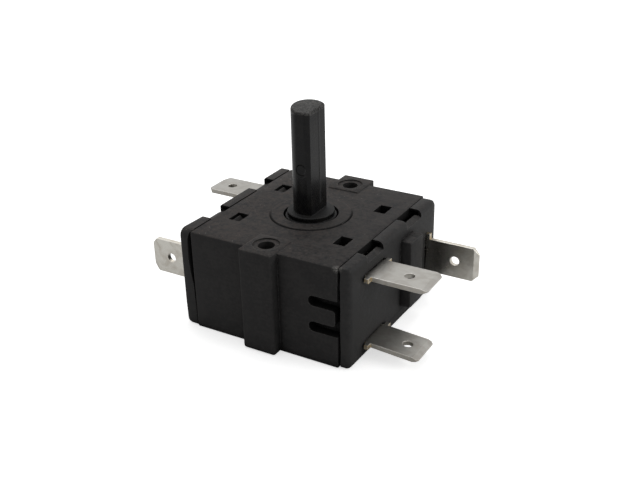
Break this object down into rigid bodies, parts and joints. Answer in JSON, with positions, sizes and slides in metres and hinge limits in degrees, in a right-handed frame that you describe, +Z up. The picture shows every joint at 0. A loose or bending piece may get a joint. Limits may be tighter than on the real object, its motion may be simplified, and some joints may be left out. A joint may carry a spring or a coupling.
{
  "type": "rotary selector switch",
  "caption": "Square black switch body with latched end covers, a D-shaped turning shaft and push-on blade terminals.",
  "frame": {"origin": "on the shaft's axis, in the plane of the housing's lower face, which it stands on", "axes": "+Z up along the shaft, out of the panel; +X toward the end cap that carries three terminals; the shaft's main flat faces +X"},
  "size_m": [0.0519, 0.0354, 0.0373],
  "materials": {
    "housing_plastic": "satin moulded thermoset, slightly mottled",
    "cap_plastic": "satin moulded thermoset",
    "shaft_plastic": "half gloss moulded",
    "natural_nylon": "natural moulded",
    "tinned_brass": "satin tin plate",
    "contact_silver": "satin silver alloy",
    "bridge_brass": "rolled strip",
    "spring_steel": "drawn wire"
  },
  "bodies": {
    "case": {"housing": "housing_plastic", "base_cover": "housing_plastic", "end_cap_right": "cap_plastic", "end_cap_left": "cap_plastic", "thrust_washer": "natural_nylon", "detent_ring": "natural_nylon", "terminal_right_upper": "tinned_brass", "terminal_right_lower": "tinned_brass", "terminal_right_rear": "tinned_brass", "terminal_left_front": "tinned_brass", "terminal_left_rear": "tinned_brass", "fixed_contact_right_upper": "contact_silver", "fixed_contact_right_lower": "contact_silver", "fixed_contact_right_rear_upper": "contact_silver", "fixed_contact_right_rear_lower": "contact_silver", "fixed_contact_left_rear": "contact_silver", "fixed_contact_left_front": "contact_silver"},
    "rotor": {"rotor_shaft": "shaft_plastic", "upper_bridge_spring": "spring_steel", "lower_bridge_spring": "spring_steel", "detent_spring_front": "spring_steel", "detent_spring_back": "spring_steel"},
    "upper_bridge": {"upper_bridge": "bridge_brass", "upper_bridge_contact_front": "contact_silver", "upper_bridge_contact_back": "contact_silver"},
    "lower_bridge": {"lower_bridge": "bridge_brass", "lower_bridge_contact_front": "contact_silver", "lower_bridge_contact_back": "contact_silver"},
    "front_ball": {"detent_ball_front": "spring_steel"},
    "back_ball": {"detent_ball_back": "spring_steel"}
  },
  "joints": [
    {"name": "shaft_turn", "type": "hinge", "parent": "case", "child": "rotor", "pos_m": [0, 0, 0.018], "axis": [0, 0, 1], "continuous": true},
    {"name": "upper_bridge_press", "type": "slide", "parent": "rotor", "child": "upper_bridge", "axis": [1, 0, 0], "range_m": [-0.0008, 0], "stiffness_N_per_m": 600, "springref_m": 0.001, "deforming": ["upper_bridge_spring"]},
    {"name": "lower_bridge_press", "type": "slide", "parent": "rotor", "child": "lower_bridge", "axis": [-1, 0, 0], "range_m": [-0.0008, 0], "stiffness_N_per_m": 600, "springref_m": 0.001, "deforming": ["lower_bridge_spring"]},
    {"name": "front_ball_press", "type": "slide", "parent": "rotor", "child": "front_ball", "axis": [0, -1, 0], "range_m": [-0.0007, 0], "stiffness_N_per_m": 600, "springref_m": 0.001, "deforming": ["detent_spring_front"]},
    {"name": "back_ball_press", "type": "slide", "parent": "rotor", "child": "back_ball", "axis": [0, 1, 0], "range_m": [-0.0007, 0], "stiffness_N_per_m": 600, "springref_m": 0.001, "deforming": ["detent_spring_back"]}
  ]
}
